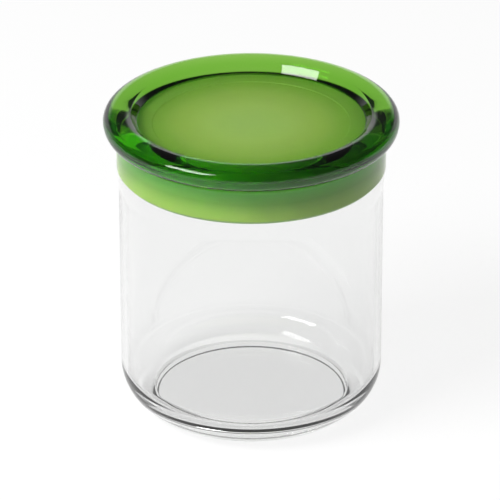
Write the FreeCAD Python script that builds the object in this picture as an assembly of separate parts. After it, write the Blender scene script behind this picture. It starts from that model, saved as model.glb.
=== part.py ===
"""Glass storage jar with a push-in lid, modelled as the four pieces it comes apart into.

glass_jar   thick-walled pressed glass pot with a heavy base and a slightly flared neck
lid_cover   clear green moulding: a solid crowned ring, a recessed plate across it and a
            skirt that goes down inside the neck
lid_liner   milky white liner snapped inside the skirt, a cup open downwards with a foot flange
seal_sleeve soft milky green sleeve round the skirt, held by its foot between the skirt's end
            and the liner's foot flange; it is what grips the glass

Millimetres. The Z axis is the jar's axis, +Z is up, and z = 0 is the table it stands on.
Every piece is turned: an outline of (radius, height) corners, revolved about the Z axis.
"""
import math
import os

import FreeCAD
import Part

# ---- driving dimensions -------------------------------------------------------------------
# glass jar
BODY_R = 52.4           # outside of the straight wall
NECK_R = 53.3           # outside of the neck, after its flare
BORE_R = 49.8           # inside of wall and neck
JAR_H = 117.5           # top of the rim, which is a full round
FLARE_LOW_Z = 96.0      # the neck's flare starts here
FLARE_HIGH_Z = 104.0    # and ends here
FLARE_BLEND = 30.0      # large radii that make the flare a soft swelling
HEEL = 18.5             # outside radius of the round heel
HEEL_Z = 6.3            # height where the slope under the heel would meet the wall
FLOOR_Z = 4.4           # inside floor, a sunk disc
FLOOR_R = 38.3          # edge of that disc
FLOOR_STEP = 3.4        # depth of the disc below the corner's foot
FLOOR_DRAFT = 0.7       # the disc's wall leans out by this much
FLOOR_CORNER = 10.5     # inside radius where floor meets wall
FOOT_R = 38.8           # outer edge of the ring that stands on the table
FOOT_ROUND = 1.2
FOOT_IN_R = 38.0        # inner edge of that ring
PUNT_R = 37.4           # edge of the flat hollow under the base
PUNT = 1.0              # rise of the hollow
STEP_EDGE = 0.15        # small radii on the edges of the sunk disc
FOOT_EDGE = 0.3         # and on the edges of the hollow

# lid cover
RING_R = 58.4           # outside of the ring
RING_LOW_Z = JAR_H      # the ring rests on the rim
RING_LOW_ROUND = 4.75   # its lower outside edge
PARTING_Z = 122.5       # mould line round the outside of the ring
PARTING_STEP = 0.15     # the ring is this much smaller below that line
SHOULDER_Z = 125.2      # where the crown's outer slope would meet the ring's outside
SHOULDER_ROUND = 4.0
CROWN_R = 52.0          # highest circle of the ring
CROWN_Z = 128.35        # where the crown's two slopes would meet
CROWN_ROUND = 8.0
LIP_R = 47.4            # where the crown's inner slope meets the wall of the recess
LIP_Z = 126.05
LIP_ROUND = 1.2
PLATE_R = 45.1          # edge of the recessed plate
PLATE_Z = 122.6         # top of the plate
PLATE_UNDER_Z = 120.0   # underside of the plate
PLATE_EDGE = 0.7
SKIRT_R = 48.0          # outside of the skirt
SKIRT_IN_R = 46.8
SKIRT_LOW_Z = 103.8     # end of the skirt
UNDERCUT_R = 51.0       # the ring is hollowed underneath, from here in to the skirt
UNDERCUT_Z = 119.0      # height of that hollow at the skirt
UNDERCUT_ROUND = 1.0
SKIRT_CORNER = 1.2      # inside corner between skirt and plate
MOULD_EDGE = 0.3        # small radius on the skirt's end

# lid liner
LINER_GAP = 0.2         # room all round between liner and cover
LINER_WALL = 1.5
LINER_TOP = 1.7         # thickness of the liner's top
LINER_LOW_Z = 101.7     # foot of the liner, the lowest point of the lid
PANEL_R = 38.8          # the middle of the top is a slightly sunk panel
PANEL_DROP = 0.25
FLANGE_R = 49.0         # foot flange, clear of the bore
FLANGE_EDGE = 0.4
CUP_CORNER = 2.0        # inside corner of the cup
SNAP_Z = 116.0          # bead round the liner, held by a groove inside the skirt
SNAP_BEAD = 0.3
SNAP_GROOVE = 0.35

# seal sleeve
SEAL_R = 49.6           # outside of the sleeve at its free size
SEAL_IN_R = 48.2        # inside of the sleeve, clear of the skirt
SEAL_TOP_Z = 117.2      # top of the sleeve, just under the ring
SEAL_FOOT = 1.2         # thickness of its foot
SEAL_EDGE = 0.5

SAME_POINT = 1e-6


# ---- turning an outline into a solid ------------------------------------------------------
def fillet(before, corner, after, radius):
    """Start, middle and end of the arc that rounds this corner of the outline."""
    to_before = (before - corner).normalize()
    to_after = (after - corner).normalize()
    half_angle = to_before.getAngle(to_after) / 2
    tangent = radius / math.tan(half_angle)
    to_centre = (to_before + to_after).normalize()
    reach = radius / math.sin(half_angle) - radius
    return corner + to_before * tangent, corner + to_centre * reach, corner + to_after * tangent


def turned(corners):
    """Solid of revolution of a closed outline.

    Each corner is (radius, height) or (radius, height, fillet radius). Straight lines join
    the corners in order, and the last one to the first.
    """
    points = [FreeCAD.Vector(corner[0], 0, corner[1]) for corner in corners]
    edges = []
    pen = first = None
    for i, corner in enumerate(corners):
        if len(corner) == 3:
            start, middle, end = fillet(points[i - 1], points[i], points[(i + 1) % len(points)], corner[2])
        else:
            start = middle = end = points[i]
        if pen is None:
            first = start
        elif pen.distanceToPoint(start) > SAME_POINT:
            edges.append(Part.LineSegment(pen, start).toShape())
        if middle is not start:
            edges.append(Part.Arc(start, middle, end).toShape())
        pen = end
    if pen.distanceToPoint(first) > SAME_POINT:
        edges.append(Part.LineSegment(pen, first).toShape())
    face = Part.Face(Part.Wire(Part.__sortEdges__(edges)))
    return face.revolve(FreeCAD.Vector(0, 0, 0), FreeCAD.Vector(0, 0, 1), 360)


# ---- the pieces ---------------------------------------------------------------------------
def glass_jar():
    """Pot with a hollowed heavy base, a round heel, a straight wall and a flared neck."""
    rim_round = (NECK_R - BORE_R) / 2
    return turned([
        (0, PUNT),
        (PUNT_R, PUNT, FOOT_EDGE),
        (FOOT_IN_R, 0, FOOT_EDGE),
        (FOOT_R, 0, FOOT_ROUND),
        (BODY_R, HEEL_Z, HEEL),
        (BODY_R, FLARE_LOW_Z, FLARE_BLEND),
        (NECK_R, FLARE_HIGH_Z, FLARE_BLEND),
        (NECK_R, JAR_H, rim_round),
        (BORE_R, JAR_H, rim_round),
        (BORE_R, FLOOR_Z + FLOOR_STEP, FLOOR_CORNER),
        (FLOOR_R + FLOOR_DRAFT, FLOOR_Z + FLOOR_STEP, STEP_EDGE),
        (FLOOR_R, FLOOR_Z, STEP_EDGE),
        (0, FLOOR_Z),
    ])


def snap_profile(radius, depth):
    """Bead on, or groove in, a wall of this radius, as outline corners from foot to top."""
    return [
        (radius, SNAP_Z - depth),
        (radius + depth, SNAP_Z, depth / 2),
        (radius, SNAP_Z + depth),
    ]


def lid_cover():
    """Crowned ring with a rounded outside, a recessed plate and a skirt into the neck."""
    return turned([
        (0, PLATE_UNDER_Z),
        (SKIRT_IN_R, PLATE_UNDER_Z, SKIRT_CORNER),
        *reversed(snap_profile(SKIRT_IN_R, SNAP_GROOVE)),
        (SKIRT_IN_R, SKIRT_LOW_Z, MOULD_EDGE),
        (SKIRT_R, SKIRT_LOW_Z, MOULD_EDGE),
        (SKIRT_R, UNDERCUT_Z),
        (UNDERCUT_R, RING_LOW_Z, UNDERCUT_ROUND),
        (RING_R - PARTING_STEP, RING_LOW_Z, RING_LOW_ROUND),
        (RING_R - PARTING_STEP, PARTING_Z),
        (RING_R, PARTING_Z + PARTING_STEP),
        (RING_R, SHOULDER_Z, SHOULDER_ROUND),
        (CROWN_R, CROWN_Z, CROWN_ROUND),
        (LIP_R, LIP_Z, LIP_ROUND),
        (PLATE_R, PLATE_Z, PLATE_EDGE),
        (0, PLATE_Z),
    ])


def lid_liner():
    """Thin cup open downwards, inside the cover's skirt, with a flange round its foot."""
    outer_r = SKIRT_IN_R - LINER_GAP
    inner_r = outer_r - LINER_WALL
    top_z = PLATE_UNDER_Z - LINER_GAP
    panel_z = top_z - PANEL_DROP
    flange_top_z = SKIRT_LOW_Z - SEAL_FOOT
    return turned([
        (0, panel_z - LINER_TOP),
        (inner_r, panel_z - LINER_TOP, CUP_CORNER),
        (inner_r, LINER_LOW_Z, FLANGE_EDGE),
        (FLANGE_R, LINER_LOW_Z, FLANGE_EDGE),
        (FLANGE_R, flange_top_z, FLANGE_EDGE),
        (outer_r, flange_top_z),
        *snap_profile(outer_r, SNAP_BEAD),
        (outer_r, top_z, SKIRT_CORNER + LINER_GAP),
        (PANEL_R + PANEL_DROP, top_z, PANEL_DROP / 2),
        (PANEL_R, panel_z, PANEL_DROP / 2),
        (0, panel_z),
    ])


def seal_sleeve():
    """Soft sleeve round the skirt, with a foot that turns in under the skirt's end."""
    foot_in_r = SKIRT_IN_R - LINER_GAP
    low_z = SKIRT_LOW_Z - SEAL_FOOT
    return turned([
        (foot_in_r, low_z),
        (SEAL_R, low_z, SEAL_EDGE),
        (SEAL_R, SEAL_TOP_Z, SEAL_EDGE),
        (SEAL_IN_R, SEAL_TOP_Z),
        (SEAL_IN_R, SKIRT_LOW_Z),
        (foot_in_r, SKIRT_LOW_Z),
    ])


os.makedirs("parts", exist_ok=True)
for make in (glass_jar, lid_cover, lid_liner, seal_sleeve):
    piece = make()
    piece.exportStep("parts/" + make.__name__ + ".step")
    box = piece.optimalBoundingBox()
    print("%-11s valid %s  %7.1f cm3  z %6.2f to %6.2f  radius %5.2f" % (
        make.__name__, piece.isValid(), piece.Volume / 1000, box.ZMin, box.ZMax, box.XMax))
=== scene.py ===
"""Looks for the lidded glass jar, in metres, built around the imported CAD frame.

Every piece is turned like its CAD node, from an outline of (radius, height) corners in
millimetres, but with far finer steps, because clear glass and plastic show every facet.
"""
import math

import bmesh
import bpy
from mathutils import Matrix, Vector


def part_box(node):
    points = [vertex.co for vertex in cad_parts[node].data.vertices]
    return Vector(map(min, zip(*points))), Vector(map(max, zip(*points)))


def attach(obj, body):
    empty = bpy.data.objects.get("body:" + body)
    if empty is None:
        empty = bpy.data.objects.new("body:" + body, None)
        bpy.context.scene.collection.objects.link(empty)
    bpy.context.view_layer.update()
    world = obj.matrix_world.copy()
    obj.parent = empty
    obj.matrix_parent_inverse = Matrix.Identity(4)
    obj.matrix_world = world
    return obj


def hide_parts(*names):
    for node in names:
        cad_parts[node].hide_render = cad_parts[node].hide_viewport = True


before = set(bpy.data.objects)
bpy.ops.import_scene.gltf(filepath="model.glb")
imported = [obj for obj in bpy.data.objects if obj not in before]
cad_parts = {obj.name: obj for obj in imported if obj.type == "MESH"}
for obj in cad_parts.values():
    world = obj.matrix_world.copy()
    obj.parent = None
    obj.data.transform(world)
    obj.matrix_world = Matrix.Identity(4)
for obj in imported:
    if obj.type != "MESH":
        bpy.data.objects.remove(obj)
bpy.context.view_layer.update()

MM = 0.001


# ---- sizes in millimetres; the nodes' outer sizes are read from the frame ------------------
def node_size(node):
    """Outside radius, lowest and highest point of a node, in millimetres."""
    low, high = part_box(node)
    return (high[0] - low[0]) / 2 / MM, low[2] / MM, high[2] / MM


NECK_R, _, JAR_H = node_size("glass_jar")
RING_R, SKIRT_LOW_Z, _ = node_size("lid_cover")
FLANGE_R, LINER_LOW_Z, LINER_TOP_Z = node_size("lid_liner")
_, SEAL_LOW_Z, SEAL_TOP_Z = node_size("seal_sleeve")

# glass jar
NECK_FLARE = 0.9        # the neck stands out from the body by this much
NECK_WALL = 3.5
BODY_R = NECK_R - NECK_FLARE
BORE_R = NECK_R - NECK_WALL
FLARE_LOW_Z = 96.0
FLARE_HIGH_Z = 104.0
FLARE_BLEND = 30.0
HEEL = 18.5
HEEL_Z = 6.3
FLOOR_Z = 4.4
FLOOR_R = 38.3
FLOOR_STEP = 3.4
FLOOR_DRAFT = 0.7
FLOOR_CORNER = 10.5
FOOT_R = 38.8
FOOT_ROUND = 1.2
FOOT_IN_R = 38.0
PUNT_R = 37.4
PUNT = 1.0
FOOT_EDGE = 0.3

# lid cover
RING_LOW_ROUND = 4.75
PARTING_Z = 122.5
PARTING_STEP = 0.15
SHOULDER_Z = 125.2
SHOULDER_ROUND = 4.0
CROWN_R = 52.0
CROWN_Z = 128.35
CROWN_ROUND = 8.0
LIP_R = 47.4
LIP_Z = 126.05
LIP_ROUND = 1.2
PLATE_R = 45.1
PLATE_Z = 122.6
PLATE_UNDER_Z = 120.0
PLATE_EDGE = 0.7
SKIRT_R = 48.0
SKIRT_IN_R = 46.8
SKIRT_CORNER = 1.2
SKIRT_EDGE = 0.3
UNDERCUT_R = 51.0
UNDERCUT_Z = 119.0
UNDERCUT_ROUND = 1.0

# lid liner and sleeve
LINER_GAP = PLATE_UNDER_Z - LINER_TOP_Z
LINER_R = SKIRT_IN_R - LINER_GAP
LINER_WALL = 1.5
LINER_TOP = 1.7
PANEL_R = 38.8
PANEL_DROP = 0.25
FLANGE_EDGE = 0.4
CUP_CORNER = 2.0
SNAP_Z = 116.0
SNAP_BEAD = 0.3
SNAP_GROOVE = 0.35
SEAL_PRESS = 0.03       # it is pressed this far into the glass, so that it shows at full width
SEAL_R = BORE_R + SEAL_PRESS
SEAL_IN_R = 48.2
SEAL_EDGE = 0.5
MOULD_EDGE = 0.15       # the small radius left on every edge that has none of its own

SEGMENTS = 256          # round the axis
ARC_STEP = math.radians(4)
ON_AXIS = 1e-6          # a radius under this is on the axis
SAME_POINT = 1e-4


# studio: metres, degrees and watts; the lens and its sensor are in millimetres
AIM = Vector((-0.0005, 0, 0.0654))
CAMERA_ELEVATION = 26.5
CAMERA_DISTANCE = 1.85
CAMERA_LENS = 334.0
CAMERA_SENSOR = 36.0
CAMERA_FAR = 20.0
LAMP_AZIMUTH = 56
LAMP_ELEVATION = 44
LAMP_DISTANCE = 1.2
LAMP_WIDTH = 0.65
LAMP_HEIGHT = 0.4
HIGHLIGHT_POWER = 10
FILL_POWER = 31
SWEEP_TOP = 0.22        # sine of the elevation where the white sweep ends
ROOM_LOW = 0.34         # and where the dark room starts
SWEEP_WIDE = 0.8        # the sweep is white where a direction's Y part is above this
SWEEP_SIDE = 0.5        # and the room is dark where it is below this
ROOM = 0.1
TABLE_R = 4.0
TABLE_SHADE = 0.06      # nearly black: the table looks pale because it glows
TABLE_GLOW = 0.9


# ---- turned pieces ------------------------------------------------------------------------
def rounded_outline(corners):
    """Points and outward normals of a closed outline whose corners are all rounded.

    The corners run with the material on their left. A corner is (radius, height) or
    (radius, height, fillet radius); corners on the axis stay sharp.
    """
    points = []
    for i, corner in enumerate(corners):
        here = Vector(corner[:2])
        before = (Vector(corners[i - 1][:2]) - here).normalized()
        after = (Vector(corners[(i + 1) % len(corners)][:2]) - here).normalized()
        if here.x == 0:
            along = after if before.x == 0 else -before
            points.append((here, Vector((along.y, -along.x))))
            continue
        radius = corner[2] if len(corner) == 3 else MOULD_EDGE
        half_angle = before.angle(after) / 2
        start = here + before * (radius / math.tan(half_angle))
        centre = here + (before + after).normalized() * (radius / math.sin(half_angle))
        turn = math.pi - 2 * half_angle
        if (-before).cross(after) < 0:
            turn = -turn
        spoke = start - centre
        outward = 1 if turn > 0 else -1
        steps = max(3, math.ceil(abs(turn) / ARC_STEP))
        for step in range(steps + 1):
            angle = turn * step / steps
            turned_spoke = Vector((
                spoke.x * math.cos(angle) - spoke.y * math.sin(angle),
                spoke.x * math.sin(angle) + spoke.y * math.cos(angle)))
            points.append((centre + turned_spoke, turned_spoke.normalized() * outward))
    kept = [points[0]]
    for point in points[1:]:
        if (point[0] - kept[-1][0]).length > SAME_POINT:
            kept.append(point)
    return kept


def turned(name, corners, body, node, material):
    """Turn an outline into a smooth closed mesh that stands for a CAD node."""
    outline = rounded_outline(corners)
    mesh = bpy.data.meshes.new(name)
    bm = bmesh.new()
    normals = []
    rings = []
    for point, normal in outline:
        if point.x < ON_AXIS:
            rings.append([bm.verts.new((0, 0, point.y * MM))])
            normals.append((0, 0, math.copysign(1, normal.y)))
            continue
        ring = []
        for k in range(SEGMENTS):
            angle = 2 * math.pi * k / SEGMENTS
            c, s = math.cos(angle), math.sin(angle)
            ring.append(bm.verts.new((point.x * c * MM, point.x * s * MM, point.y * MM)))
            normals.append((normal.x * c, normal.x * s, normal.y))
        rings.append(ring)
    closed_on_axis = len(rings[0]) == 1
    pairs = list(zip(rings, rings[1:]))
    if not closed_on_axis:
        pairs.append((rings[-1], rings[0]))
    for low, high in pairs:
        for k in range(SEGMENTS):
            j = (k + 1) % SEGMENTS
            if len(low) == 1:
                bm.faces.new((low[0], high[j], high[k]))
            elif len(high) == 1:
                bm.faces.new((low[k], low[j], high[0]))
            else:
                bm.faces.new((low[k], low[j], high[j], high[k]))
    bm.to_mesh(mesh)
    bm.free()
    for face in mesh.polygons:
        face.use_smooth = True
    mesh.normals_split_custom_set_from_vertices(normals)
    mesh.materials.append(material)
    piece = bpy.data.objects.new(name, mesh)
    bpy.context.scene.collection.objects.link(piece)
    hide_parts(node)
    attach(piece, body)


# ---- materials ----------------------------------------------------------------------------
MILKY_PAINTED_LIGHT_STOPS = (          # share of the flange's radius, colour: the liner's green with painted light, pale in the middle, and painted shade towards the rim
    (0.0, (0.98, 0.94, 0.60)),
    (0.34, (0.96, 0.92, 0.55)),
    (0.62, (0.69, 0.74, 0.37)),
    (0.745, (0.52, 0.645, 0.26)),
    (0.93, (0.36, 0.52, 0.18)),
    (0.96, (0.25, 0.50, 0.12)),
)
SLEEVE_PAINTED_LIGHT_STOPS = (         # share of the sleeve's height, colour: green with painted light, paler at the foot, painted shade under the ring, and a painted highlight at the top
    (0.0, (0.37, 0.60, 0.088)),
    (0.20, (0.34, 0.57, 0.075)),
    (0.50, (0.19, 0.44, 0.04)),
    (0.80, (0.165, 0.55, 0.06)),
    (0.93, (0.27, 0.85, 0.12)),
    (1.0, (0.50, 1.0, 0.25)),
)


def new_material(name):
    """An empty node material, its tree and its output node."""
    material = bpy.data.materials.new(name)
    material.use_nodes = True
    tree = material.node_tree
    tree.nodes.clear()
    return material, tree, tree.nodes.new("ShaderNodeOutputMaterial")


def add(tree, kind, **values):
    """Add a node and set its inputs by name; settings start with an underscore."""
    node = tree.nodes.new(kind)
    for key, value in values.items():
        if key.startswith("_"):
            setattr(node, key[1:], value)
        else:
            node.inputs[key.replace("_", " ")].default_value = value
    return node


def waviness(tree, shader, scale, stretch, distance, strength=1.0):
    """Bump the shader with a slow noise; stretch squeezes it along X, Y and Z."""
    place = add(tree, "ShaderNodeTexCoord")
    mapping = add(tree, "ShaderNodeMapping", Scale=stretch)
    noise = add(tree, "ShaderNodeTexNoise", Scale=scale, Detail=1.0)
    bump = add(tree, "ShaderNodeBump", Distance=distance, Strength=strength)
    tree.links.new(place.outputs["Object"], mapping.inputs["Vector"])
    tree.links.new(mapping.outputs["Vector"], noise.inputs["Vector"])
    tree.links.new(noise.outputs["Fac"], bump.inputs["Height"])
    tree.links.new(bump.outputs["Normal"], shader.inputs["Normal"])


def color_ramp(tree, value, stops, color):
    """Drive a colour input from a value through the stops."""
    ramp = add(tree, "ShaderNodeValToRGB")
    for position, _ in stops[1:-1]:
        ramp.color_ramp.elements.new(position)
    for stop, (position, shade) in zip(ramp.color_ramp.elements, stops):
        stop.position = position
        stop.color = (*shade, 1)
    tree.links.new(value, ramp.inputs["Fac"])
    tree.links.new(ramp.outputs["Color"], color)


def clear_glass():
    material, tree, out = new_material("clear_glass")
    shader = add(tree, "ShaderNodeBsdfPrincipled", Base_Color=(0.935, 0.937, 0.935, 1),
                 Roughness=0.0, IOR=1.5, Transmission_Weight=1.0)
    waviness(tree, shader, scale=22.0, stretch=(1, 1, 0.35), distance=0.00006)
    tree.links.new(shader.outputs["BSDF"], out.inputs["Surface"])
    return material


def green_clear():
    material, tree, out = new_material("green_clear")
    shader = add(tree, "ShaderNodeBsdfPrincipled", Base_Color=(1, 1, 1, 1),
                 Roughness=0.0, IOR=1.49, Transmission_Weight=1.0)
    tint = add(tree, "ShaderNodeVolumeAbsorption", Color=(0.55, 0.807, 0.183, 1), Density=300.0)
    tree.links.new(shader.outputs["BSDF"], out.inputs["Surface"])
    tree.links.new(tint.outputs["Volume"], out.inputs["Volume"])
    return material


def milky_plastic():
    """Thin milky green moulding with painted light: pale in the middle, where light comes
    through from below, and painted shade deeper towards the rim, under the ring.
    """
    material, tree, out = new_material("milky_plastic")
    shader = add(tree, "ShaderNodeBsdfPrincipled",
                 Roughness=0.45, IOR=1.5, Subsurface_Weight=1.0, Subsurface_Scale=0.005,
                 Subsurface_Radius=(1.0, 1.0, 1.0))
    place = add(tree, "ShaderNodeTexCoord")
    flat = add(tree, "ShaderNodeVectorMath", _operation="MULTIPLY")
    flat.inputs[1].default_value = (1, 1, 0)
    radius = add(tree, "ShaderNodeVectorMath", _operation="LENGTH")
    share = add(tree, "ShaderNodeMath", _operation="DIVIDE")
    share.inputs[1].default_value = FLANGE_R * MM
    tree.links.new(place.outputs["Object"], flat.inputs[0])
    tree.links.new(flat.outputs["Vector"], radius.inputs[0])
    tree.links.new(radius.outputs["Value"], share.inputs[0])
    # painted light: pale in the middle, painted shade towards the rim under the ring
    color_ramp(tree, share.outputs["Value"], MILKY_PAINTED_LIGHT_STOPS, shader.inputs["Base Color"])
    waviness(tree, shader, scale=900.0, stretch=(1, 1, 1), distance=0.00002, strength=0.3)
    tree.links.new(shader.outputs["BSDF"], out.inputs["Surface"])
    return material


def sleeve_plastic():
    """Soft milky green with painted light: paler towards its foot, painted shade under the
    ring, and a painted highlight at its top where light comes through the ring.
    """
    material, tree, out = new_material("sleeve_green")
    shader = add(tree, "ShaderNodeBsdfPrincipled",
                 Roughness=0.5, IOR=1.4, Subsurface_Weight=1.0, Subsurface_Scale=0.001,
                 Subsurface_Radius=(1.0, 1.0, 1.0))
    place = add(tree, "ShaderNodeTexCoord")
    split = add(tree, "ShaderNodeSeparateXYZ")
    share = add(tree, "ShaderNodeMapRange", From_Min=SEAL_LOW_Z * MM, From_Max=SEAL_TOP_Z * MM)
    tree.links.new(place.outputs["Object"], split.inputs["Vector"])
    tree.links.new(split.outputs["Z"], share.inputs["Value"])
    # painted light: paler foot, painted shade under the ring, painted highlight at the top
    color_ramp(tree, share.outputs["Result"], SLEEVE_PAINTED_LIGHT_STOPS, shader.inputs["Base Color"])
    waviness(tree, shader, scale=700.0, stretch=(1, 1, 1), distance=0.00003, strength=0.4)
    tree.links.new(shader.outputs["BSDF"], out.inputs["Surface"])
    return material


# ---- the pieces ---------------------------------------------------------------------------
def make_jar():
    rim_round = (NECK_R - BORE_R) / 2
    turned("jar_glass", [
        (0, PUNT),
        (PUNT_R, PUNT, FOOT_EDGE),
        (FOOT_IN_R, 0, FOOT_EDGE),
        (FOOT_R, 0, FOOT_ROUND),
        (BODY_R, HEEL_Z, HEEL),
        (BODY_R, FLARE_LOW_Z, FLARE_BLEND),
        (NECK_R, FLARE_HIGH_Z, FLARE_BLEND),
        (NECK_R, JAR_H, rim_round),
        (BORE_R, JAR_H, rim_round),
        (BORE_R, FLOOR_Z + FLOOR_STEP, FLOOR_CORNER),
        (FLOOR_R + FLOOR_DRAFT, FLOOR_Z + FLOOR_STEP),
        (FLOOR_R, FLOOR_Z),
        (0, FLOOR_Z),
    ], "jar", "glass_jar", clear_glass())


def snap_profile(radius, depth):
    """Bead on, or groove in, a wall of this radius, as outline corners from foot to top."""
    return [
        (radius, SNAP_Z - depth),
        (radius + depth, SNAP_Z, depth / 2),
        (radius, SNAP_Z + depth),
    ]


def make_cover():
    turned("cover_clear", [
        (0, PLATE_UNDER_Z),
        (SKIRT_IN_R, PLATE_UNDER_Z, SKIRT_CORNER),
        *reversed(snap_profile(SKIRT_IN_R, SNAP_GROOVE)),
        (SKIRT_IN_R, SKIRT_LOW_Z, SKIRT_EDGE),
        (SKIRT_R, SKIRT_LOW_Z, SKIRT_EDGE),
        (SKIRT_R, UNDERCUT_Z),
        (UNDERCUT_R, JAR_H, UNDERCUT_ROUND),
        (RING_R - PARTING_STEP, JAR_H, RING_LOW_ROUND),
        (RING_R - PARTING_STEP, PARTING_Z),
        (RING_R, PARTING_Z + PARTING_STEP),
        (RING_R, SHOULDER_Z, SHOULDER_ROUND),
        (CROWN_R, CROWN_Z, CROWN_ROUND),
        (LIP_R, LIP_Z, LIP_ROUND),
        (PLATE_R, PLATE_Z, PLATE_EDGE),
        (0, PLATE_Z),
    ], "lid", "lid_cover", green_clear())


def make_liner():
    inner_r = LINER_R - LINER_WALL
    panel_z = LINER_TOP_Z - PANEL_DROP
    turned("liner_milky", [
        (0, panel_z - LINER_TOP),
        (inner_r, panel_z - LINER_TOP, CUP_CORNER),
        (inner_r, LINER_LOW_Z, FLANGE_EDGE),
        (FLANGE_R, LINER_LOW_Z, FLANGE_EDGE),
        (FLANGE_R, SEAL_LOW_Z, FLANGE_EDGE),
        (LINER_R, SEAL_LOW_Z),
        *snap_profile(LINER_R, SNAP_BEAD),
        (LINER_R, LINER_TOP_Z, SKIRT_CORNER + LINER_GAP),
        (PANEL_R + PANEL_DROP, LINER_TOP_Z, PANEL_DROP / 2),
        (PANEL_R, panel_z, PANEL_DROP / 2),
        (0, panel_z),
    ], "lid", "lid_liner", milky_plastic())


def make_sleeve():
    turned("sleeve_soft", [
        (LINER_R, SEAL_LOW_Z),
        (SEAL_R, SEAL_LOW_Z, SEAL_EDGE),
        (SEAL_R, SEAL_TOP_Z, SEAL_EDGE),
        (SEAL_IN_R, SEAL_TOP_Z),
        (SEAL_IN_R, SKIRT_LOW_Z),
        (LINER_R, SKIRT_LOW_Z),
    ], "lid", "seal_sleeve", sleeve_plastic())


make_jar()
make_cover()
make_liner()
make_sleeve()


# ---- floor, lights and camera --------------------------------------------------------------
def make_floor():
    """Large plain matte table, pale from the same even glow all over, like a light table."""
    mesh = bpy.data.meshes.new("table")
    bm = bmesh.new()
    bmesh.ops.create_circle(bm, cap_ends=True, segments=96, radius=TABLE_R)
    bm.to_mesh(mesh)
    bm.free()
    material, tree, out = new_material("table_white")
    shader = add(tree, "ShaderNodeBsdfPrincipled", Roughness=0.6,
                 Base_Color=(TABLE_SHADE, TABLE_SHADE, TABLE_SHADE, 1),
                 Specular_IOR_Level=0.0, Emission_Color=(1, 1, 1, 1),
                 Emission_Strength=TABLE_GLOW)
    tree.links.new(shader.outputs["BSDF"], out.inputs["Surface"])
    mesh.materials.append(material)
    table = bpy.data.objects.new("table", mesh)
    bpy.context.scene.collection.objects.link(table)


def make_world():
    """White sweep behind the jar, up to a low height, in a dark room."""
    world = bpy.data.worlds.new("studio")
    world.use_nodes = True
    tree = world.node_tree
    tree.nodes.clear()
    place = add(tree, "ShaderNodeTexCoord")
    split = add(tree, "ShaderNodeSeparateXYZ")
    low = add(tree, "ShaderNodeMapRange", From_Min=ROOM_LOW, From_Max=SWEEP_TOP)
    behind = add(tree, "ShaderNodeMapRange", From_Min=SWEEP_SIDE, From_Max=SWEEP_WIDE)
    white = add(tree, "ShaderNodeMath", _operation="MULTIPLY")
    level = add(tree, "ShaderNodeMapRange", To_Min=ROOM)
    back = add(tree, "ShaderNodeBackground")
    out = tree.nodes.new("ShaderNodeOutputWorld")
    tree.links.new(place.outputs["Generated"], split.inputs["Vector"])
    tree.links.new(split.outputs["Z"], low.inputs["Value"])
    tree.links.new(split.outputs["Y"], behind.inputs["Value"])
    tree.links.new(low.outputs["Result"], white.inputs[0])
    tree.links.new(behind.outputs["Result"], white.inputs[1])
    tree.links.new(white.outputs["Value"], level.inputs["Value"])
    tree.links.new(level.outputs["Result"], back.inputs["Strength"])
    tree.links.new(back.outputs["Background"], out.inputs["Surface"])
    bpy.context.scene.world = world


def make_softbox(name, power):
    """Rectangular lamp aimed at the jar. Azimuth 0 is the front, -Y, and grows towards -X."""
    data = bpy.data.lights.new(name, "AREA")
    data.shape = "RECTANGLE"
    data.size = LAMP_WIDTH
    data.size_y = LAMP_HEIGHT
    data.energy = power
    lamp = bpy.data.objects.new(name, data)
    bpy.context.scene.collection.objects.link(lamp)
    a, e = math.radians(LAMP_AZIMUTH), math.radians(LAMP_ELEVATION)
    toward = Vector((-math.sin(a) * math.cos(e), -math.cos(a) * math.cos(e), math.sin(e)))
    place = toward * LAMP_DISTANCE
    lamp.location = place + AIM
    lamp.rotation_euler = (-place).to_track_quat("-Z", "Y").to_euler()
    return lamp


def make_camera():
    """Long lens, looking down at the jar from the front."""
    data = bpy.data.cameras.new("camera")
    data.lens = CAMERA_LENS
    data.sensor_width = CAMERA_SENSOR
    data.clip_end = CAMERA_FAR
    camera = bpy.data.objects.new("camera", data)
    bpy.context.scene.collection.objects.link(camera)
    e = math.radians(CAMERA_ELEVATION)
    back = Vector((0, -math.cos(e), math.sin(e))) * CAMERA_DISTANCE
    camera.location = AIM + back
    camera.rotation_euler = (-back).to_track_quat("-Z", "Y").to_euler()
    bpy.context.scene.camera = camera


make_floor()
make_world()
make_softbox("softbox", HIGHLIGHT_POWER)
make_softbox("fill", FILL_POWER).visible_glossy = False   # keeps the highlights weak
make_camera()
bpy.context.scene.view_settings.view_transform = "Standard"
